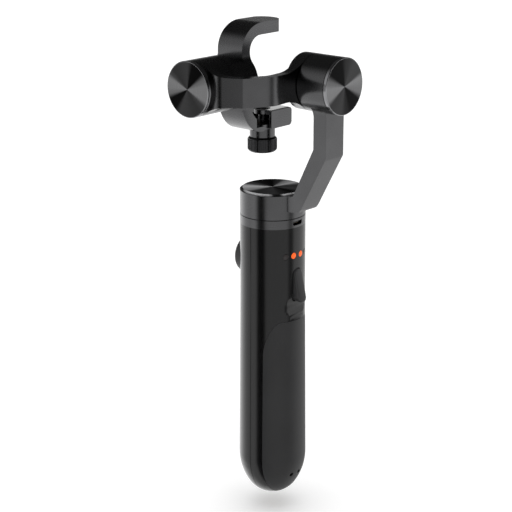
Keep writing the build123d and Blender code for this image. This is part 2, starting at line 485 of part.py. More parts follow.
# ---------------------------------------------------------------- camera cage
OUTER_BEND = (15.4, 13.5, 18.0)      # half axes of the outer corners: X, Z above, Z below
INNER_BEND = (8.0, 7.7)
bend_x = HUB_FACE_X + OUTER_BEND[0]
hook_top = HOOK_Z + HOOK_T
end_x = HOOK_SIDE_X - sqrt(HOOK_END_R ** 2 - (CAGE_W / 2) ** 2)
tip_x = end_x + HOOK_END_R
upper_z, lower_z = hook_top - OUTER_BEND[1], CAGE_BOTTOM + OUTER_BEND[2]
inner_x, inner_z = WALL_FACE_X + INNER_BEND[0], HOOK_Z - INNER_BEND[1]
outer_up = EllipticalCenterArc((bend_x, upper_z), OUTER_BEND[0], OUTER_BEND[1], 90)
outer_low = EllipticalCenterArc((bend_x, lower_z), OUTER_BEND[0], OUTER_BEND[2], 180)
inner_up = EllipticalCenterArc((inner_x, inner_z), INNER_BEND[0], INNER_BEND[1], 90)
arm_shelf = (WALL_FACE_X + 5.1, lower_z - 10.9)
inner_low = Spline((WALL_FACE_X, lower_z), (WALL_FACE_X + 1.5, lower_z - 6.4), arm_shelf)
corners = Polyline(arm_shelf, (arm_shelf[0], TONGUE_TOP), (WALL_FACE_X + 11.0, TONGUE_TOP),
                   (WALL_FACE_X + 11.0, CAGE_BOTTOM), (bend_x, CAGE_BOTTOM))
back = Line((HUB_FACE_X, lower_z), (HUB_FACE_X, upper_z))
hook_edge = Polyline((bend_x, hook_top), (tip_x, hook_top), (tip_x, HOOK_Z), (inner_x, HOOK_Z))
front = Line((WALL_FACE_X, inner_z), (WALL_FACE_X, lower_z))
outline = make_face(outer_up + back + outer_low + corners + inner_low + front + inner_up + hook_edge)
cage = Pos(0, CAGE_Y1, 0) * extrude(Plane.XZ * outline, CAGE_W)
plan = Pos(end_x, TILT_Y, 0) * disc(HOOK_END_R, 0, BIG)
plan = plan + block(-BIG / 4, end_x, CAGE_Y0, CAGE_Y1, 0, BIG) & block(-BIG, BIG, CAGE_Y0, CAGE_Y1, 0, BIG)
cage &= plan
cage_flare = flare(TILT_R, CAGE_W / 2, CAGE_FLARE_R, TILT_R + 1)
for turn in (0, 180):
    web = extrude(Rot(0, 0, turn) * cage_flare, WALL_FACE_X - HUB_FACE_X)
    cage += along_x(web, HUB_FACE_X, TILT_Y, AXIS_Z)
cage += along_x(disc(TILT_R, HUB_BACK_X, HUB_FACE_X), 0, TILT_Y, AXIS_Z)
cage += block(bend_x, TONGUE_END_X, TILT_Y - TONGUE_W / 2, TILT_Y + TONGUE_W / 2,
              CAGE_BOTTOM, TONGUE_TOP)
cage += Pos(CLAMP_X, TILT_Y, 0) * disc(BOSS_R, CAGE_BOTTOM - BOSS_H, CAGE_BOTTOM)
cage -= along_x(disc(SHAFT_R, -1, PLATE_SEAT), HUB_BACK_X, TILT_Y, AXIS_Z)
bush = Pos(CLAMP_X, TILT_Y, 0) * disc(BUSH_R, CAGE_BOTTOM - BOSS_H, TONGUE_TOP, SCREW_R + RUN_FIT)
bush_seat = Pos(CLAMP_X, TILT_Y, 0) * disc(BUSH_R, CAGE_BOTTOM - BOSS_H, TONGUE_TOP)
PAD_HALF = CAGE_W / 2 - 2.6
hook_pad = block(WALL_FACE_X + 11, CLAMP_X, TILT_Y - PAD_HALF, TILT_Y + PAD_HALF,
                 HOOK_Z - PAD_PROUD, HOOK_Z - PAD_PROUD + PAD_T)
hook_pad += Pos(CLAMP_X, TILT_Y, HOOK_Z - PAD_PROUD) * disc(PAD_HALF, 0, PAD_T)
back_pad = along_x(disc(TILT_R - 5, 0, PAD_T), WALL_FACE_X + PAD_PROUD - PAD_T, TILT_Y, AXIS_Z)
PARTS["camera_cage"] = cage - bush_seat - hook_pad - back_pad
PARTS["clamp_bush"] = bush
PARTS["hook_pad"] = hook_pad
PARTS["back_pad"] = back_pad

# ---------------------------------------------------------------- clamp jaw
SKIRT_IN = TONGUE_W / 2 + SLIDE_GAP
SKIRT_OUT = SKIRT_IN + JAW_SKIRT
CLIP_SEAT_Z = JAW_Z - 1.1
jaw = block(JAW_LEFT_X, JAW_RIGHT_X, TILT_Y - SKIRT_OUT, TILT_Y + SKIRT_OUT, CAGE_BOTTOM, JAW_Z)
jaw = fillet(jaw.edges().filter_by(Axis.Y).group_by(Axis.X)[-1], JAW_CORNER)
jaw -= block(-BIG, TONGUE_END_X + SLIDE_GAP, TILT_Y - SKIRT_IN, TILT_Y + SKIRT_IN, 0, JAW_UNDER)
jaw += Pos(CLAMP_X, TILT_Y, 0) * disc(JAW_LUG_R, JAW_UNDER, JAW_Z)
jaw -= Pos(CLAMP_X, TILT_Y, 0) * disc(JOURNAL_R + RUN_FIT, JAW_UNDER - 1, JAW_Z + 1)
jaw -= Pos(CLAMP_X, TILT_Y, 0) * disc(CLIP_R + 0.3, CLIP_SEAT_Z, JAW_Z + 1)
PAD_EDGE = 0.9
jaw_pad = block(JAW_LEFT_X + PAD_EDGE, JAW_RIGHT_X - JAW_CORNER, TILT_Y - SKIRT_OUT + PAD_EDGE,
                TILT_Y + SKIRT_OUT - PAD_EDGE, JAW_Z + PAD_PROUD - PAD_T, JAW_Z + PAD_PROUD)
jaw_pad -= Pos(CLAMP_X, TILT_Y, 0) * disc(JAW_LUG_R, 0, BIG)
PARTS["lower_jaw"] = jaw - jaw_pad
PARTS["jaw_pad"] = jaw_pad

# ---------------------------------------------------------------- clamp screw
KNOB_LOW = KNOB_TOP - KNOB_H
JOURNAL_TOP = JAW_Z - 0.4
screw = disc(SCREW_R, KNOB_LOW + 1.5, JAW_UNDER - END_PLAY)
screw += disc(JOURNAL_R, JAW_UNDER - END_PLAY, JOURNAL_TOP)
clip = disc(CLIP_R, CLIP_SEAT_Z + END_PLAY, CLIP_SEAT_Z + END_PLAY + CLIP_T, JOURNAL_R)
clip -= block(0, CLIP_R + 1, -0.8, 0.8, CLIP_SEAT_Z, JAW_Z)
knob_core = chamfer(disc(KNOB_R - RIB_R, KNOB_LOW, KNOB_TOP).edges(), 0.7)
rib_sketch = Circle(KNOB_R - RIB_R)
for i in range(KNOB_RIBS):
    rib_sketch += Rot(0, 0, 360 * i / KNOB_RIBS) * Pos(KNOB_R - RIB_R, 0) * Circle(RIB_R)
knob = knob_core + extrude(Pos(0, 0, KNOB_LOW + 1.1) * rib_sketch, KNOB_H - 2.2)
knob -= disc(SCREW_R, KNOB_LOW + 1.5, KNOB_TOP + 1)
for node, shape in (("clamp_screw", screw), ("screw_clip", clip), ("clamp_knob", knob)):
    PARTS[node] = Pos(CLAMP_X, TILT_Y, 0) * shape

# ---------------------------------------------------------------- motors
motor("pan", lambda s: Pos(0, 0, PAN_PLATE_Z) * s, PAN_DEPTH, HANDLE_R - SOCKET_L - 2.2)
motor("roll", lambda s: along_y(s, 0, ROLL_PLATE_Y, AXIS_Z), ROLL_DEPTH, ROLL_INNER_R - 0.8)
motor("tilt", lambda s: along_x(s, HUB_BACK_X, TILT_Y, AXIS_Z), TILT_DEPTH, TILT_INNER_R - 0.8)

# ---------------------------------------------------------------- written files
os.makedirs("parts", exist_ok=True)
for node, shape in PARTS.items():
    export_step(shape, f"parts/{node}.step")
print(len(PARTS), "nodes, roll axis height", round(AXIS_Z, 2))
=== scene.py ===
"""Looks of a hand-held three-axis camera gimbal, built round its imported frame.

The frame's nodes give every place and size. Each sub-assembly is a class that dresses its own
nodes, and adds the pieces that the frame leaves plain: spun discs, threads, socket contacts.
"""
from __future__ import annotations

import json
import logging
import math
from dataclasses import dataclass, field, replace
from enum import Enum

import bmesh
import bpy
from mathutils import Matrix, Vector

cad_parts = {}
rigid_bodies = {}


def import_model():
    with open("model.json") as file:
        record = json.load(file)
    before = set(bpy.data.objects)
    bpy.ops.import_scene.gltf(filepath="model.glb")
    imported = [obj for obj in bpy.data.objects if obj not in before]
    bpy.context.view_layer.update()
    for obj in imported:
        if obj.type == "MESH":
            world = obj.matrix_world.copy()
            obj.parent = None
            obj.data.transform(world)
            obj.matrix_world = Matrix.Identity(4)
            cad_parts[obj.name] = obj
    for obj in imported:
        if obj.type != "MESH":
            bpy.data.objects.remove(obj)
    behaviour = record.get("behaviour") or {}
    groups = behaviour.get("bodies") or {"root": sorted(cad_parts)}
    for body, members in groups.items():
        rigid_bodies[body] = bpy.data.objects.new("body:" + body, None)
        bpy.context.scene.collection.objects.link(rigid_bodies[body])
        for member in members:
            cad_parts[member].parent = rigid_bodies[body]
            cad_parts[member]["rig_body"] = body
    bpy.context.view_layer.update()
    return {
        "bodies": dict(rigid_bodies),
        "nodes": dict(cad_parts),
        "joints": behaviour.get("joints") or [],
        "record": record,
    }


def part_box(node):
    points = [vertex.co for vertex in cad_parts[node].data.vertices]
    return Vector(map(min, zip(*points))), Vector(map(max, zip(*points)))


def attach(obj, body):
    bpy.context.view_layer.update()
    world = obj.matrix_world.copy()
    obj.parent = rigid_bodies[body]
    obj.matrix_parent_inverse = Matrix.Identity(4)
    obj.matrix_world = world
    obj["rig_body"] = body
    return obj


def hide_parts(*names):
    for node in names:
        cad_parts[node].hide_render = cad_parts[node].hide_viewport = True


LOG = logging.getLogger("gimbal")
MM = 0.001
Colour = tuple[float, float, float]
Stops = tuple[tuple[float, float], ...]
Profile = list[tuple[float, float]]
FULL_TURN = 2.0 * math.pi
BEVEL_ABOVE = math.radians(38.0)
FLAT_WITHIN = math.radians(0.6)
FACING = 0.98


class Side(Enum):
    """The way a round part faces, as the axis that its outer face looks along."""

    LEFT = (-1.0, 0.0, 0.0)
    BACK = (0.0, -1.0, 0.0)
    UP = (0.0, 0.0, 1.0)
    FRONT = (0.0, 1.0, 0.0)

    def turn(self) -> Matrix:
        """Rotation that takes +Z to this side."""
        return Vector((0.0, 0.0, 1.0)).rotation_difference(Vector(self.value)).to_matrix().to_4x4()


# ------------------------------------------------------------------ shader maths
class Channel:
    """A number that a shader tree works out, usable in Python expressions."""

    def __init__(self, shader: "Shader", socket: bpy.types.NodeSocket) -> None:
        """Wrap an output socket of a shader's tree."""
        self.shader = shader
        self.socket = socket

    def _math(self, operation: str, *terms: "Channel | float") -> "Channel":
        """Add a Math node.

        Args:
            operation: The node's operation.
            terms: Its inputs in order, as channels or numbers.

        Returns:
            The node's result.
        """
        node = self.shader.node("ShaderNodeMath", {"operation": operation}, dict(enumerate(terms)))
        return Channel(self.shader, node.outputs[0])

    def __add__(self, other: "Channel | float") -> "Channel":
        """Sum."""
        return self._math("ADD", self, other)

    def __radd__(self, other: float) -> "Channel":
        """Sum with the number first."""
        return self._math("ADD", other, self)

    def __sub__(self, other: "Channel | float") -> "Channel":
        """Difference."""
        return self._math("SUBTRACT", self, other)

    def __rsub__(self, other: float) -> "Channel":
        """Difference with the number first."""
        return self._math("SUBTRACT", other, self)

    def __mul__(self, other: "Channel | float") -> "Channel":
        """Product."""
        return self._math("MULTIPLY", self, other)

    def __rmul__(self, other: float) -> "Channel":
        """Product with the number first."""
        return self._math("MULTIPLY", other, self)

    def __truediv__(self, other: "Channel | float") -> "Channel":
        """Quotient."""
        return self._math("DIVIDE", self, other)

    def __pow__(self, other: float) -> "Channel":
        """Power."""
        return self._math("POWER", self, other)

    def angle_to(self, other: "Channel") -> "Channel":
        """Angle in radians of the point (other, self) seen from the origin."""
        return self._math("ARCTAN2", self, other)


class Shader:
    """A material and the tree behind its surface shader."""

    def __init__(self, name: str) -> None:
        """Start a material with a principled surface."""
        self.material = bpy.data.materials.new(name)
        self.material.use_nodes = True
        self.tree = self.material.node_tree
        self.surface = self.tree.nodes["Principled BSDF"]

    @classmethod
    def of_world(cls, world: bpy.types.World) -> "Shader":
        """Wrap a world's tree, with its background as the surface."""
        shader = cls.__new__(cls)
        world.use_nodes = True
        shader.material, shader.tree = world, world.node_tree
        shader.surface = world.node_tree.nodes["Background"]
        return shader

    def node(self, kind: str, settings: dict | None = None, values: dict | None = None) -> bpy.types.Node:
        """Add a node.

        Args:
            kind: The node's type.
            settings: Its own properties, set first. A ramp's stops are given as "stops".
            values: Numbers, colours, sockets or channels for its inputs, by name or index.

        Returns:
            The new node.
        """
        node = self.tree.nodes.new(kind)
        for key, setting in (settings or {}).items():
            if key == "stops":
                self._set_stops(node, setting)
            elif key == "ease":
                node.color_ramp.interpolation = setting
            else:
                setattr(node, key, setting)
        for key, value in (values or {}).items():
            self.feed(node.inputs[key], value)
        return node

    @staticmethod
    def _set_stops(node: bpy.types.Node, stops: Stops) -> None:
        """Give a colour ramp its grey stops, as (place, grey) pairs."""
        elements = node.color_ramp.elements
        elements.remove(elements[0])
        elements[0].position = stops[0][0]
        for place, _ in stops[1:]:
            elements.new(place)
        for element, (_, grey) in zip(elements, stops):
            element.color = (grey, grey, grey, 1.0)

    def feed(self, socket: bpy.types.NodeSocket, value: object) -> None:
        """Set an input to a constant, or link it to a channel or socket."""
        if isinstance(value, Channel):
            value = value.socket
        if isinstance(value, bpy.types.NodeSocket):
            self.tree.links.new(value, socket)
        else:
            socket.default_value = value

    def place(self, centre: Vector | None = None, stretch: Colour = (1.0, 1.0, 1.0)
              ) -> bpy.types.NodeSocket:
        """Position on the piece in metres, counted from a centre and stretched along each axis."""
        source = self.node("ShaderNodeTexCoord").outputs["Object"]
        if centre is not None:
            values = {"Vector": source, "Location": tuple(centre)}
            source = self.node("ShaderNodeMapping", {"vector_type": "TEXTURE"}, values).outputs[0]
        values = {"Vector": source, "Scale": stretch}
        return self.node("ShaderNodeMapping", {"vector_type": "POINT"}, values).outputs[0]

    def noise(self, scale: float, where: bpy.types.NodeSocket, detail: float = 2.0) -> Channel:
        """Noise from 0 to 1 whose grains are about 1/scale metres across."""
        values = {"Vector": where, "Scale": scale, "Detail": detail}
        return Channel(self, self.node("ShaderNodeTexNoise", None, values).outputs[0])

    def spread(self, value: Channel, low: float, high: float) -> Channel:
        """Stretch a channel that lies mostly between 0.3 and 0.7 to run from low to high."""
        values = {0: value, 1: 0.3, 2: 0.7, 3: low, 4: high}
        return Channel(self, self.node("ShaderNodeMapRange", None, values).outputs[0])

    def tint(self, dark: Colour, light: Colour, share: Channel) -> bpy.types.NodeSocket:
        """Colour between two others, by a share from 0 to 1."""
        values = {"Factor": share, 6: (*dark, 1.0), 7: (*light, 1.0)}
        return self.node("ShaderNodeMix", {"data_type": "RGBA"}, values).outputs[2]

    def drift(self, tone: Colour, swing: float, share: Channel) -> bpy.types.NodeSocket:
        """Colour that drifts darker and lighter than a tone by a fraction, along with a noise."""
        dark, light = (tuple(part * level for part in tone) for level in (1.0 - swing, 1.0 + swing))
        return self.tint(dark, light, self.spread(share, 0.0, 1.0))

    def bump(self, height: Channel, depth: float) -> bpy.types.NodeSocket:
        """Bumped normal, for heights from 0 to 1 that stand for a depth in metres."""
        return self.node("ShaderNodeBump", None, {"Height": height, "Distance": depth}).outputs[0]

    def dress(self, **values: object) -> bpy.types.Material:
        """Set the surface shader's inputs, with underscores for spaces, and hand over the material."""
        for key, value in values.items():
            self.feed(self.surface.inputs[key.replace("_", " ")], value)
        return self.material


# ------------------------------------------------------------------ finishes
@dataclass(frozen=True)
class Anodised:
    """Satin anodised aluminium: fine blasted grain under a dark film."""

    name: str
    tone: Colour
    roughness: float
    grain: float = 0.004 * MM
    swing: float = 0.07
    grain_scale: float = 5200.0
    cloud_scale: float = 60.0

    def build(self) -> bpy.types.Material:
        """Make the material."""
        shader = Shader(self.name)
        where = shader.place()
        fine = shader.noise(self.grain_scale, where, 1.0)
        cloud = shader.noise(self.cloud_scale, where, 3.0)
        return shader.dress(
            Base_Color=shader.drift(self.tone, self.swing, cloud),
            Metallic=1.0,
            Roughness=shader.spread(fine, self.roughness - 0.03, self.roughness + 0.04),
            Normal=shader.bump(fine, self.grain),
        )


@dataclass(frozen=True)
class SpunMetalPaintedReflection:
    """Lathe-turned disc face with painted reflection: bright and dark sectors painted into its colour over
    concentric cuts.

    Each stop is a place round the face and the grey of its painted reflection there. Places run from 0 at
    the left, as seen from outside, by way of the bottom, the right and the top to 1. The painted sectors
    stay fixed to the disc and turn with it.
    """

    name: str
    centre: Vector
    side: Side
    stops: Stops
    metallic: float
    gloss: float
    # Colour of the brightest painted reflection sector.
    light: Colour = (0.62, 0.62, 0.63)
    roughness: float = 0.22
    ring_scale: float = 1400.0
    waver: float = 0.012
    # How much the rings vary the painted reflection's brightness.
    shimmer: float = 0.36
    cut: float = 0.004 * MM

    def build(self) -> bpy.types.Material:
        """Make the material."""
        shader = Shader(self.name)
        parts = shader.node("ShaderNodeSeparateXYZ", None, {0: shader.place(self.centre)}).outputs
        x, y, z = (Channel(shader, part) for part in parts)
        across, up = {Side.LEFT: (0.0 - y, z), Side.BACK: (x, z), Side.UP: (x, y)}[self.side]
        radius = (across * across + up * up) ** 0.5
        circles = shader.node("ShaderNodeCombineXYZ", None, {0: radius}).outputs[0]
        rings = shader.noise(self.ring_scale, circles, 5.0)
        turn = up.angle_to(across) / FULL_TURN + 0.5 + (rings - 0.5) * self.waver
        # The ramp paints bright and dark reflection sectors round the face into its base colour; the rings
        # make the painted reflection waver.
        ramp = shader.node("ShaderNodeValToRGB", {"stops": self.stops, "ease": "EASE"}, {0: turn})
        share = Channel(shader, ramp.outputs[0]) * (1.0 + self.shimmer * (rings - 0.5))
        return shader.dress(
            Base_Color=shader.tint((0.0, 0.0, 0.0), self.light, share),
            Metallic=self.metallic,
            Specular_IOR_Level=self.gloss,
            Roughness=shader.spread(rings, self.roughness - 0.05, self.roughness + 0.07),
            Normal=shader.bump(rings, self.cut),
        )


@dataclass(frozen=True)
class Moulded:
    """Moulded plastic with a fine spark-eroded grain."""

    name: str
    tone: Colour
    roughness: float
    grain_size: float = 0.22 * MM
    depth: float = 0.012 * MM
    gloss: float = 0.5
    swing: float = 0.12
    cloud_scale: float = 35.0

    def build(self) -> bpy.types.Material:
        """Make the material."""
        shader = Shader(self.name)
        where = shader.place()
        grain = shader.noise(1.0 / self.grain_size, where)
        cloud = shader.noise(self.cloud_scale, where)
        return shader.dress(
            Base_Color=shader.drift(self.tone, self.swing, cloud),
            Roughness=shader.spread(grain, self.roughness - 0.05, self.roughness + 0.05),
            Specular_IOR_Level=self.gloss,
            Normal=shader.bump(grain, self.depth),
        )


@dataclass(frozen=True)
class Machined:
    """Bare turned metal with faint tool marks."""

    name: str
    tone: Colour
    roughness: float = 0.3
    mark_depth: float = 0.003 * MM
    mark_scale: float = 2500.0
    stretch: Colour = (1.0, 1.0, 6.0)

    def build(self) -> bpy.types.Material:
        """Make the material."""
        shader = Shader(self.name)
        marks = shader.noise(self.mark_scale, shader.place(None, self.stretch))
        dark = tuple(0.8 * part for part in self.tone)
        return shader.dress(
            Base_Color=shader.tint(dark, self.tone, shader.spread(marks, 0.0, 1.0)),
            Metallic=1.0,
            Roughness=shader.spread(marks, self.roughness - 0.06, self.roughness + 0.08),
            Normal=shader.bump(marks, self.mark_depth),
        )


@dataclass(frozen=True)
class LightPipe:
    """End of a clear light guide, lit or dark."""

    name: str
    tone: Colour
    glow: float = 0.0
    cloud_scale: float = 1800.0

    def build(self) -> bpy.types.Material:
        """Make the material."""
        shader = Shader(self.name)
        cloud = shader.noise(self.cloud_scale, shader.place(), 1.0)
        dark = tuple(0.75 * part for part in self.tone)
        colour = shader.tint(dark, self.tone, shader.spread(cloud, 0.0, 1.0))
        return shader.dress(Base_Color=colour, Roughness=0.25, Emission_Color=colour,
                            Emission_Strength=self.glow)


FINISHES: dict[str, Anodised | Moulded | Machined | LightPipe] = {
    "shell_plastic": Moulded("handle_plastic", (0.004, 0.004, 0.0043), 0.20, 0.16 * MM, 0.004 * MM),
    "grip_soft": Moulded("grip_coating", (0.021, 0.021, 0.022), 0.50, 0.30 * MM, 0.014 * MM),
    "dark_metal": Anodised("arm_anodised", (0.130, 0.130, 0.133), 0.26),
    "spun_disc": Anodised("rim_polished", (0.36, 0.36, 0.37), 0.18, 0.001 * MM),
    "knob_black": Anodised("knob_anodised", (0.055, 0.055, 0.057), 0.28),
    "pad_rubber": Moulded("pad_silicone", (0.62, 0.62, 0.62), 0.6, 0.4 * MM, 0.03 * MM, 0.3),
    "button_plastic": Moulded("button_plastic", (0.030, 0.030, 0.031), 0.32, 0.2 * MM, 0.005 * MM),
    "light_on": LightPipe("light_lit", (1.0, 0.13, 0.012), 0.50),
    "light_off": LightPipe("light_dark", (0.03, 0.025, 0.025)),
    "brass": Machined("brass", (0.42, 0.31, 0.16)),
    "steel": Machined("steel", (0.13, 0.13, 0.135)),
    "cell_wrap": Moulded("cell_sleeve", (0.05, 0.14, 0.32), 0.35),
    "inner_plastic": Moulded("inner_plastic", (0.03, 0.03, 0.03), 0.45),
    "board_green": Moulded("board_mask", (0.01, 0.12, 0.05), 0.35),
    "magnet": Machined("magnet_plating", (0.45, 0.45, 0.47), 0.22),
    "copper_wire": Machined("winding_wire", (0.62, 0.27, 0.11), 0.35),
}

# Painted reflection sectors of the three end discs, and painted highlight sectors of the pan disc's rim, as
# the spun-metal finish takes them.
TILT_PAINTED_REFLECTION = ((0.0, 0.34), (0.035, 0.26), (0.075, 0.003), (0.135, 0.004), (0.185, 0.08), (0.36, 0.055),
               (0.405, 0.08), (0.45, 0.34), (0.535, 0.34), (0.575, 0.24), (0.62, 0.003), (0.70, 0.004),
               (0.75, 0.075), (0.88, 0.055), (0.91, 0.09), (0.95, 0.36), (1.0, 0.34))
ROLL_PAINTED_REFLECTION = ((0.0, 0.36), (0.065, 0.34), (0.105, 0.065), (0.21, 0.08), (0.27, 0.03), (0.32, 0.003),
               (0.40, 0.004), (0.45, 0.28), (0.54, 0.37), (0.575, 0.085), (0.65, 0.09), (0.73, 0.05),
               (0.79, 0.004), (0.905, 0.003), (0.96, 0.24), (1.0, 0.36))
PAN_PAINTED_REFLECTION = ((0.0, 0.04), (0.12, 0.05), (0.17, 0.02), (0.24, 0.002), (0.31, 0.06), (0.40, 0.04),
              (0.43, 0.12), (0.47, 0.48), (0.52, 0.28), (0.57, 0.03), (0.63, 0.002), (0.72, 0.008),
              (0.79, 0.07), (0.86, 0.70), (0.93, 0.42), (0.985, 0.06), (1.0, 0.04))
PAN_RIM_PAINTED_HIGHLIGHT = ((0.0, 0.85), (0.09, 0.75), (0.12, 0.02), (0.15, 0.02), (0.175, 0.85), (0.24, 0.75), (0.27, 0.02),
           (0.45, 0.02), (0.50, 0.5), (0.55, 0.02), (0.90, 0.02), (0.97, 0.8), (1.0, 0.85))


class Wardrobe:
    """Makes each finish once and hands it out by the record's slot name."""

    def __init__(self) -> None:
        """Start with nothing made."""
        self.made: dict[str, bpy.types.Material] = {}

    def get(self, slot: str) -> bpy.types.Material:
        """Material of a slot."""
        if slot not in self.made:
            self.made[slot] = FINISHES[slot].build()
        return self.made[slot]


# ------------------------------------------------------------------ mesh helpers
@dataclass(frozen=True)
class Lathe:
    """A round surface that a piece keeps: its axis, and its radius if it's a plain cylinder."""

    point: Vector
    axis: Vector
    radius: float | None = None
    slack: float = 0.06 * MM
    turn: float = math.cos(math.radians(12.0))

    def true_normal(self, place: Vector, normal: Vector) -> Vector | None:
        """Exact normal of the round surface at a place, or None where the piece leaves it.

        Args:
            place: A point of the piece.
            normal: Its normal there, as the mesh gives it.

        Returns:
            The normal with its part across the axis turned straight away from the axis.
        """
        out = place - self.point
        out -= out.dot(self.axis) * self.axis
        if self.radius is not None and abs(out.length - self.radius) > self.slack:
            return None
        along = normal.dot(self.axis)
        across = normal - along * self.axis
        scale = across.length * out.length
        if scale == 0.0 or across.dot(out) < self.turn * scale:
            return None
        return (out.normalized() * across.length + along * self.axis).normalized()


def shade(mesh: bpy.types.Mesh, lathes: tuple[Lathe, ...] = (), degrees: float = 28.0) -> None:
    """Shade a mesh smooth over edges below an angle, with its flats flat and its rounds true.

    Args:
        mesh: The mesh.
        lathes: Round surfaces that it keeps.
        degrees: The angle above which an edge stays sharp.
    """
    mesh.shade_smooth()
    limit = math.cos(math.radians(degrees))
    faces = [(face.normal.copy(), face.area) for face in mesh.polygons]
    around: list[list[int]] = [[] for _ in mesh.vertices]
    for face in mesh.polygons:
        for vertex in face.vertices:
            around[vertex].append(face.index)
    normals = []
    for face in mesh.polygons:
        own = faces[face.index][0]
        for vertex in face.vertices:
            near = (faces[other] for other in around[vertex])
            # The tiny start keeps a direction where every face is too small to count.
            mean = sum((normal * area for normal, area in near if normal.dot(own) > limit), own * 1e-9)
            mean.normalize()
            place = mesh.vertices[vertex].co
            true = (lathe.true_normal(place, mean) for lathe in lathes)
            normals.append(next((normal for normal in true if normal is not None), mean))
    mesh.normals_split_custom_set(normals)


def turned(profile: Profile, steps: int = 96) -> bmesh.types.BMesh:
    """Lathe a profile about the Z axis.

    Args:
        profile: Its points as (radius, height) in metres, in order round the section.
        steps: Sides of the circle.

    Returns:
        The closed, outward-facing mesh.
    """
    bm = bmesh.new()
    verts = [bm.verts.new((radius, 0.0, height)) for radius, height in profile]
    edges = [bm.edges.new(pair) for pair in zip(verts, verts[1:])]
    if profile[0][0] > 0.0:
        edges.append(bm.edges.new((verts[-1], verts[0])))
    bmesh.ops.spin(
        bm, geom=verts + edges, cent=(0.0, 0.0, 0.0), axis=(0.0, 0.0, 1.0), angle=FULL_TURN,
        steps=steps, use_merge=True,
    )
    bmesh.ops.remove_doubles(bm, verts=bm.verts, dist=0.0005 * MM)
    bmesh.ops.recalc_face_normals(bm, faces=bm.faces)
    return bm


def move(bm: bmesh.types.BMesh, place: Vector, side: Side = Side.UP) -> bmesh.types.BMesh:
    """Turn a mesh modelled along +Z to a side, and shift it to its place."""
    bmesh.ops.transform(bm, matrix=Matrix.Translation(place) @ side.turn(), verts=bm.verts)
    return bm


def node_radius(node: str, side: Side) -> float:
    """Radius of a round node that faces a side, from its box."""
    low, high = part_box(node)
    across = [size for size, part in zip(high - low, side.value) if not part]
    return max(across) / 2


def can_lathe(disc: str, side: Side) -> Lathe:
    """Round wall of the motor can that an end disc closes."""
    low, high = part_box(disc)
    return Lathe((low + high) / 2, Vector(side.value), node_radius(disc, side))


def node_length(node: str, way: Vector) -> float:
    """Length of a node along a level direction, from its box, for a round rod that points that way."""
    low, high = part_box(node)
    size = high - low
    corners = 2 * size.z * abs(way.x * way.y)
    return (size.x * abs(way.x) + size.y * abs(way.y) - corners) / (way.x ** 2 + way.y ** 2)


@dataclass
class SubAssembly:
    """What every sub-assembly shares: its frame, its finishes, and how pieces are added."""

    frame: dict
    wardrobe: Wardrobe

    body = "handle"

    def __post_init__(self) -> None:
        """Look up the record's material slots."""
        self.slots = {part["node"]: part["material_slot"] for part in self.frame["record"]["subparts"]}

    def add(self, name: str, bm: bmesh.types.BMesh, slot: str, body: str,
            stands_for: str | None = None, material: bpy.types.Material | None = None,
            lathes: tuple[Lathe, ...] = ()) -> bpy.types.Object:
        """Turn a finished bmesh into a piece that rides on a body.

        Args:
            name: The piece's name.
            bm: Its mesh, in the frame's own place.
            slot: Material slot of the record that it takes its finish from.
            body: Body that it moves with.
            stands_for: Node that it hides, if any.
            material: Its own material, in place of the slot's. Faces of index 1 keep the slot's.
            lathes: Round surfaces that it keeps.

        Returns:
            The new object.
        """
        mesh = bpy.data.meshes.new(name)
        bm.to_mesh(mesh)
        bm.free()
        shade(mesh, lathes)
        for look in filter(None, (material, self.wardrobe.get(slot))):
            mesh.materials.append(look)
        piece = bpy.data.objects.new(name, mesh)
        bpy.context.scene.collection.objects.link(piece)
        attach(piece, body)
        if stands_for:
            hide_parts(stands_for)
        LOG.info("piece %s: %d faces, rides on %s", name, len(mesh.polygons), body)
        return piece

    @staticmethod
    def _round_edges(bm: bmesh.types.BMesh, width: float) -> None:
        """Round a mesh's sharp edges."""
        sharp = [edge for edge in bm.edges
                 if edge.is_manifold and edge.calc_face_angle() > BEVEL_ABOVE]
        bmesh.ops.bevel(bm, geom=sharp, offset=width, segments=2, affect="EDGES", profile=0.5,
                        material=-1, clamp_overlap=True)

    def refine(self, node: str, body: str, material: bpy.types.Material | None = None,
               bevel: float = 0.0, lathes: tuple[Lathe, ...] = (), side: Side | None = None,
               rest: bpy.types.Material | None = None) -> bpy.types.Object:
        """Stand a merged, smooth-shaded copy of a node in for it, its flats made single faces.

        Args:
            node: The node.
            body: Body that it moves with.
            material: Its own material, in place of its slot's.
            bevel: Width of the rounding of its sharp edges, in metres.
            lathes: Round surfaces that it keeps.
            side: The way its own material faces, if it's not all over.
            rest: Material of its other faces, in place of its slot's.

        Returns:
            The new object.
        """
        bm = bmesh.new()
        bm.from_mesh(self.frame["nodes"][node].data)
        bmesh.ops.remove_doubles(bm, verts=bm.verts, dist=0.002 * MM)
        bmesh.ops.dissolve_limit(bm, angle_limit=FLAT_WITHIN, verts=bm.verts, edges=bm.edges)
        if bevel:
            self._round_edges(bm, bevel)
        if side:
            for face in bm.faces:
                face.material_index = int(face.normal.dot(Vector(side.value)) < FACING)
        piece = self.add(node + "_skin", bm, self.slots[node], body, node, material, lathes)
        if rest:
            piece.data.materials[1] = rest
        return piece

    def paint(self, *bodies: str) -> None:
        """Give every node of these bodies, or else of this sub-assembly's, its slot's finish."""
        for node, obj in self.frame["nodes"].items():
            if obj["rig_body"] in (bodies or (self.body,)):
                obj.data.materials.clear()
                obj.data.materials.append(self.wardrobe.get(self.slots[node]))


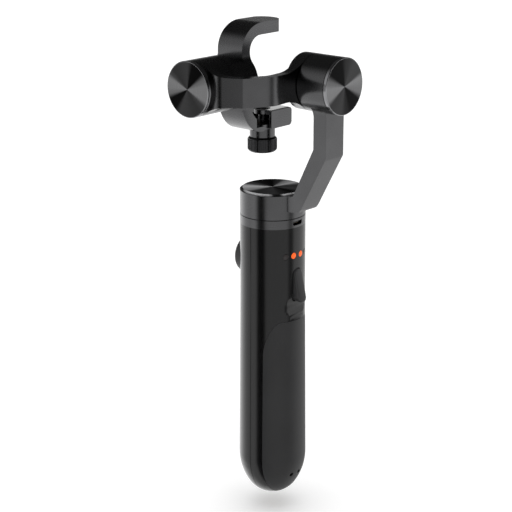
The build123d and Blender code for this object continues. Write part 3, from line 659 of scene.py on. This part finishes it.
@dataclass(frozen=True)
class SpunDisc:
    """Lathe-turned end disc: cut face, polished bevel, grooved rim and neck."""

    node: str
    side: Side
    stops: Stops
    metallic: float = 1.0
    gloss: float = 0.15
    pitch: float = 0.26 * MM
    cut: float = 0.010 * MM
    bevel: float = 0.42 * MM
    groove_at: float = 1.25 * MM
    groove: float = 0.22 * MM
    neck: float = 0.4 * MM
    neck_in: float = 0.7 * MM

    def mesh(self) -> bmesh.types.BMesh:
        """Build the disc where its node lies.

        Returns:
            The disc's mesh, with index 1 on the faces of its bevel and rim.
        """
        low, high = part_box(self.node)
        way = Vector(self.side.value)
        thick = abs((high - low).dot(way))
        radius = max(high - low) / 2
        flat = radius - self.bevel
        profile = [(0.0, thick - 2 * self.cut)]
        cuts = int(flat / self.pitch)
        for i in range(1, 2 * cuts):
            profile.append((i * self.pitch / 2, thick - (self.cut if i % 2 else 0.0)))
        rim = thick - self.groove_at
        profile += [(flat, thick), (flat + 0.3 * self.bevel, thick), (radius, thick - 0.7 * self.bevel)]
        if rim - 2 * self.groove > self.neck:
            profile += [(radius, rim), (radius - self.groove, rim - self.groove),
                        (radius, rim - 2 * self.groove)]
        profile += [(radius, self.neck), (radius - self.neck_in, self.neck), (radius - self.neck_in, 0.0),
                    (0.0, 0.0)]
        bm = turned(profile, 128)
        for face in bm.faces:
            if math.hypot(*face.calc_center_median().xy) > flat:
                face.material_index = 1
        return move(bm, (low + high) / 2 - way * thick / 2, self.side)

    def finish(self) -> bpy.types.Material:
        """Make the cut face's material, its reflection sectors painted into its colour."""
        low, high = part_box(self.node)
        return SpunMetalPaintedReflection("spun_" + self.node, (low + high) / 2, self.side, self.stops,
                         metallic=self.metallic, gloss=self.gloss).build()


# ------------------------------------------------------------------ sub-assemblies
@dataclass
class Thread:
    """Screw thread drawn as rings."""

    pitch: float = 0.8 * MM
    depth: float = 0.42 * MM

    def crests(self, radius: float, start: float, end: float, inner: bool = False) -> Profile:
        """Points of a thread's flank.

        Args:
            radius: Radius of its crests.
            start: Height of its first crest.
            end: Height that it stays below or above.
            inner: Whether it is cut in a hole.

        Returns:
            (radius, height) points from start to end.
        """
        root = radius + self.depth if inner else radius - self.depth
        sign = 1.0 if end > start else -1.0
        count = int(abs(end - start) / self.pitch)
        points = []
        for i in range(count):
            z = start + sign * i * self.pitch
            for share, level in ((0.0, radius), (0.15, radius), (0.5, root), (0.65, root)):
                points.append((level, z + sign * share * self.pitch))
        return points


@dataclass
class Handle(SubAssembly):
    """Grip with its shells, panel, lights, socket and fixed motor ring."""

    lens_round: float = 0.35 * MM
    tongue: tuple[float, float] = (0.62, 0.66)
    tongue_t: float = 0.7 * MM
    tongue_up: float = 0.15 * MM
    contacts: int = 5
    contact_w: float = 0.4 * MM
    contact_t: float = 0.12 * MM
    tripod_bore: float = 2.6 * MM
    tripod_top: float = 1.5 * MM
    tripod_thread: Thread = field(default_factory=lambda: Thread(1.27 * MM, 0.5 * MM))

    body = "handle"

    def build(self) -> None:
        """Dress the handle and add its small parts."""
        self.paint()
        upright = Lathe(Vector(), Vector(Side.UP.value))
        for node in ("front_shell", "rear_shell", "grip_panel", "pan_base_ring"):
            self.refine(node, self.body, lathes=(upright,))
        self.refine("usb_socket", self.body, bevel=0.08 * MM)
        for i in range(1, 5):
            self._lens(f"indicator_light_{i}")
        self._socket_tongue()
        self._tripod_thread()

    def _lens(self, node: str) -> None:
        """Stand a round-ended light guide in for a plain one."""
        low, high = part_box(node)
        middle = (low + high) / 2
        radius = (high.z - low.z) / 2
        out = Vector((middle.x, middle.y, 0.0)).normalized()
        deep = node_length(node, out) / 2
        flat = radius - self.lens_round
        bm = turned([(0.0, deep + self.lens_round * 0.6), (flat * 0.6, deep + self.lens_round * 0.5),
                     (flat, deep + self.lens_round * 0.25), (radius * 0.97, deep - self.lens_round * 0.4),
                     (radius * 0.97, -deep), (0.0, -deep)], 32)
        turn = Vector((0.0, 0.0, 1.0)).rotation_difference(out).to_matrix().to_4x4()
        bmesh.ops.transform(bm, matrix=Matrix.Translation(middle) @ turn, verts=bm.verts)
        self.add(node + "_lens", bm, self.slots[node], self.body, node)

    def _socket_tongue(self) -> None:
        """Add the tongue inside the charging socket, with its contacts."""
        low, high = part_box("usb_socket")
        size, middle = high - low, (low + high) / 2
        wide, deep = size.x * self.tongue[0], size.y * self.tongue[1]
        tongue = bmesh.new()
        bmesh.ops.create_cube(tongue, size=1.0)
        bmesh.ops.scale(tongue, vec=(wide, deep, self.tongue_t), verts=tongue.verts)
        bmesh.ops.bevel(tongue, geom=list(tongue.edges), offset=0.1 * MM, segments=2, affect="EDGES",
                        profile=0.5, material=-1)
        move(tongue, middle + Vector((0.0, 0.4 * MM, self.tongue_up)))
        self.add("socket_tongue", tongue, "inner_plastic", self.body)
        strips = bmesh.new()
        down = self.tongue_up - self.tongue_t / 2
        for i in range(self.contacts):
            made = bmesh.ops.create_cube(strips, size=1.0)["verts"]
            x = (i - (self.contacts - 1) / 2) * wide / self.contacts
            bmesh.ops.scale(strips, vec=(self.contact_w, size.y * 0.5, self.contact_t), verts=made)
            bmesh.ops.translate(strips, vec=middle + Vector((x, 0.1 * MM, down)), verts=made)
        self.add("socket_contacts", strips, "brass", self.body)

    def _tripod_thread(self) -> None:
        """Stand a threaded insert in for the plain one."""
        low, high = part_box("tripod_insert")
        outer, tall, bore = (high.x - low.x) / 2, high.z - low.z, self.tripod_bore
        profile = [(bore + 0.6 * MM, 0.0), (outer - 0.2 * MM, 0.0), (outer, 0.2 * MM), (outer, tall),
                   (0.0, tall), (0.0, tall - self.tripod_top), (bore, tall - self.tripod_top)]
        profile += self.tripod_thread.crests(bore, tall - 1.9 * MM, 0.8 * MM, True)
        profile.append((bore, 0.7 * MM))
        self.add("tripod_insert_threaded", turned(profile, 64), "brass", self.body, "tripod_insert")


@dataclass
class PanArm(SubAssembly):
    """Arm that turns on the handle and holds the roll motor."""

    edge: float = 0.28 * MM

    body = "pan_arm"

    def build(self) -> None:
        """Dress the arm and lay the two turned discs on it."""
        self.paint()
        upright = Lathe(Vector(), Vector(Side.UP.value))
        self.refine("pan_arm", self.body, bevel=self.edge,
                    lathes=(replace(upright, radius=node_radius("pan_base_ring", Side.UP)),
                            can_lathe("roll_end_disc", Side.BACK)))
        # The pan disc's face and rim are near-matt, their reflection sectors and rim highlights painted
        # into their colour.
        pan, rim = (SpunDisc("pan_top_disc", Side.UP, stops, metallic=0.05, gloss=0.0).finish()
                    for stops in (PAN_PAINTED_REFLECTION, PAN_RIM_PAINTED_HIGHLIGHT))
        rim.name = "pan_rim_painted_highlight"
        self.refine("pan_top_disc", self.body, pan, 0.35 * MM, (upright,), Side.UP, rim)
        # The roll disc's reflection sectors are painted into its colour.
        roll = SpunDisc("roll_end_disc", Side.BACK, ROLL_PAINTED_REFLECTION, groove_at=9.0 * MM)
        self.add("roll_spun_disc", roll.mesh(), "spun_disc", self.body, "roll_end_disc", roll.finish())


@dataclass
class RollBracket(SubAssembly):
    """Bent strap between the roll and the tilt motors."""

    edge: float = 0.28 * MM

    body = "roll_bracket"

    def build(self) -> None:
        """Dress the bracket and lay the turned disc on it."""
        self.paint()
        self.refine("roll_bracket", self.body, bevel=self.edge,
                    lathes=(can_lathe("tilt_end_disc", Side.LEFT),))
        # The tilt disc's reflection sectors are painted into its colour.
        tilt = SpunDisc("tilt_end_disc", Side.LEFT, TILT_PAINTED_REFLECTION)
        self.add("tilt_spun_disc", tilt.mesh(), "spun_disc", self.body, "tilt_end_disc", tilt.finish())


@dataclass
class CameraCage(SubAssembly):
    """C-shaped cage that holds the camera."""

    edge: float = 0.3 * MM

    body = "camera_cage"

    def build(self) -> None:
        """Dress the cage and its pads."""
        self.paint()
        for node, bevel in (("camera_cage", self.edge), ("hook_pad", 0.1 * MM), ("back_pad", 0.1 * MM),
                            ("clamp_bush", 0.0)):
            self.refine(node, self.body, bevel=bevel)


@dataclass
class ClampJaw(SubAssembly):
    """Moving lower jaw."""

    edge: float = 0.25 * MM

    body = "clamp_jaw"

    def build(self) -> None:
        """Dress the jaw and its pad."""
        self.paint()
        self.refine("lower_jaw", self.body, bevel=self.edge)
        self.refine("jaw_pad", self.body, bevel=0.1 * MM)


@dataclass
class ClampScrew(SubAssembly):
    """Clamp screw with its knurled knob."""

    journal: float = 1.5 * MM
    below_jaw_top: float = 2.5 * MM
    run_out: float = 0.4 * MM
    chamfer: float = 0.2 * MM
    dimple: float = 0.7 * MM
    dimple_deep: float = 0.6 * MM
    thread: Thread = field(default_factory=Thread)

    body = "clamp_screw"

    def build(self) -> None:
        """Dress the clip and knob, and cut the screw's thread."""
        self.paint()
        self.refine("screw_clip", self.body)
        self.refine("clamp_knob", self.body, bevel=0.06 * MM)
        low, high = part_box("clamp_screw")
        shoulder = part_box("lower_jaw")[1].z - self.below_jaw_top - low.z
        radius, tall = (high.x - low.x) / 2, high.z - low.z
        profile = [(0.0, 0.0), (radius, 0.0)]
        profile += self.thread.crests(radius, self.run_out, shoulder - self.run_out)
        profile += [(radius, shoulder), (self.journal, shoulder), (self.journal, tall - self.chamfer),
                    (self.journal - self.chamfer, tall), (self.dimple, tall),
                    (self.dimple, tall - self.dimple_deep), (0.0, tall - self.dimple_deep)]
        bm = move(turned(profile, 48), Vector(((low.x + high.x) / 2, (low.y + high.y) / 2, low.z)))
        self.add("clamp_screw_threaded", bm, "steel", self.body, "clamp_screw")


@dataclass
class Controls(SubAssembly):
    """Trigger and joystick."""

    teeth: int = 60
    tooth: float = 0.14 * MM
    inset: float = 0.15 * MM
    rim_tall: float = 2.1 * MM
    centre: float = -1.0
    dish: Stops = ((0.25, -0.95), (0.50, -0.65), (0.64, -0.28), (0.70, -0.20), (0.74, -0.38),
                   (0.78, -0.38), (0.82, -0.52), (0.90, -0.98), (0.96, -1.5))

    def build(self) -> None:
        """Dress both controls and cut the joystick's cap."""
        self.paint("trigger", "joystick_ring", "joystick")
        self.refine("trigger_button", "trigger")
        self.refine("joystick_ring", "joystick_ring")
        self.refine("joystick_stem", "joystick")
        self._cap()

    def _cap(self) -> None:
        """Stand a cap with a toothed rim and a ridged dish in for the plain dome."""
        low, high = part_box("joystick_cap")
        radius, tall = (high.x - low.x) / 2, high.y - low.y
        outer, rim = radius - self.inset, tall - self.rim_tall
        profile = [(radius * share, tall + level * MM) for share, level in ((0.0, self.centre), *self.dish)]
        profile += [(outer, rim), (outer, 0.5 * MM), (radius - 0.6 * MM, 0.0), (1.6 * MM, 0.0),
                    (1.6 * MM, rim), (0.0, rim)]
        bm = turned(profile, 2 * self.teeth)
        for vert in bm.verts:
            step = round(math.atan2(vert.co.y, vert.co.x) / math.pi * self.teeth)
            if abs(math.hypot(*vert.co.xy) - outer) < 0.01 * MM and step % 2 == 0:
                vert.co.xy *= radius / (radius - self.tooth)
        middle = (low + high) / 2
        self.add("joystick_cap_ridged", move(bm, Vector((middle.x, low.y, middle.z)), Side.FRONT),
                 "button_plastic", "joystick", "joystick_cap")


# ------------------------------------------------------------------ studio
@dataclass
class Studio:
    """Pale floor, soft surround and the camera."""

    floor_z: float = -9.0 * MM
    eye: tuple[float, float, float] = (-0.536878, -0.473924, 0.365630)
    heading: float = 0.83507
    pitch_down: float = 0.30860
    roll: float = -0.0025
    focal: float = 98.44
    strength: float = 2.5
    floor_glow: float = 0.17
    lamp_energy: float = 3.1
    lamp_angle: float = math.radians(110.0)
    around: Stops = (
        (0.0, 0.56), (0.10, 0.70), (0.15, 1.0), (0.25, 1.0), (0.32, 0.60), (0.38, 0.49), (0.42, 0.62),
        (0.447, 0.62), (0.466, 0.0), (0.530, 0.0), (0.550, 0.43), (0.764, 0.43), (0.785, 0.10),
        (0.815, 0.10), (0.84, 0.62), (1.0, 0.56))
    upward: Stops = (
        (0.0, 0.45), (0.17, 0.60), (0.32, 0.64), (0.43, 0.64), (0.50, 0.42), (0.56, 0.14), (0.62, 0.04),
        (0.70, 0.015), (0.9, 0.02), (1.0, 0.06))
    tall_around: Stops = ((0.29, 0.0), (0.34, 0.20), (0.44, 0.20), (0.46, 0.0))
    tall_upward: Stops = ((0.45, 0.0), (0.55, 1.0), (0.75, 1.0), (0.92, 0.0))

    def build(self) -> None:
        """Set up everything round the object."""
        scene = bpy.context.scene
        scene.view_settings.view_transform = "Standard"
        self._camera(scene)
        self._floor()
        self._world(scene)
        self._overhead()

    def _camera(self, scene: bpy.types.Scene) -> None:
        """Place the camera and make it the scene's."""
        data = bpy.data.cameras.new("camera")
        data.lens = self.focal
        data.clip_start = 0.01
        camera = bpy.data.objects.new("camera", data)
        scene.collection.objects.link(camera)
        camera.location = self.eye
        turn = Matrix.Rotation(-self.heading, 3, "Z")
        down = Matrix.Rotation(math.pi / 2 - self.pitch_down, 3, "X")
        camera.rotation_euler = (turn @ down @ Matrix.Rotation(self.roll, 3, "Z")).to_euler()
        scene.camera = camera

    def _floor(self) -> None:
        """Lay the floor, which gloss doesn't mirror."""
        bm = bmesh.new()
        bmesh.ops.create_circle(bm, cap_ends=True, segments=96, radius=6.0)
        mesh = bpy.data.meshes.new("floor")
        bm.to_mesh(mesh)
        bm.free()
        floor = bpy.data.objects.new("floor", mesh)
        floor.location = (0.0, 0.0, self.floor_z)
        floor.visible_glossy = False
        bpy.context.scene.collection.objects.link(floor)
        shader = Shader("floor_paper")
        white = (0.95, 0.95, 0.95, 1.0)
        mesh.materials.append(shader.dress(Base_Color=white, Roughness=0.9, Specular_IOR_Level=0.0,
                                           Emission_Color=white, Emission_Strength=self.floor_glow))

    def _world(self, scene: bpy.types.Scene) -> None:
        """Surround of large soft panels with dark gaps between them, dim overhead."""
        world = bpy.data.worlds.new("studio")
        scene.world = world
        shader = Shader.of_world(world)
        way = shader.node("ShaderNodeTexCoord").outputs["Generated"]
        parts = shader.node("ShaderNodeSeparateXYZ", None, {0: way}).outputs
        x, y, z = (Channel(shader, part) for part in parts)
        turn = (0.0 - y).angle_to(0.0 - x) / FULL_TURN + 0.5
        height = z * 0.5 + 0.5
        low, tall = (self._panel(shader, turn, a) * self._panel(shader, height, b)
                     for a, b in ((self.around, self.upward), (self.tall_around, self.tall_upward)))
        shader.dress(Color=low + tall, Strength=self.strength)

    @staticmethod
    def _panel(shader: Shader, place: Channel, stops: Stops) -> Channel:
        """Brightness along one direction of the surround."""
        return Channel(shader, shader.node("ShaderNodeValToRGB", {"stops": stops}, {0: place}).outputs[0])

    def _overhead(self) -> None:
        """Hang a broad overhead lamp that lights the floor and matt surfaces, not gloss."""
        data = bpy.data.lights.new("overhead", "SUN")
        data.energy = self.lamp_energy
        data.angle = self.lamp_angle
        lamp = bpy.data.objects.new("overhead", data)
        lamp.visible_glossy = False
        bpy.context.scene.collection.objects.link(lamp)


def main() -> None:
    """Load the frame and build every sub-assembly."""
    logging.basicConfig(level=logging.INFO, format="%(name)s: %(message)s")
    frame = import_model()
    wardrobe = Wardrobe()
    Studio().build()
    for kind in (Handle, PanArm, RollBracket, CameraCage, ClampJaw, ClampScrew, Controls):
        kind(frame, wardrobe).build()


if __name__ == "__main__":
    main()
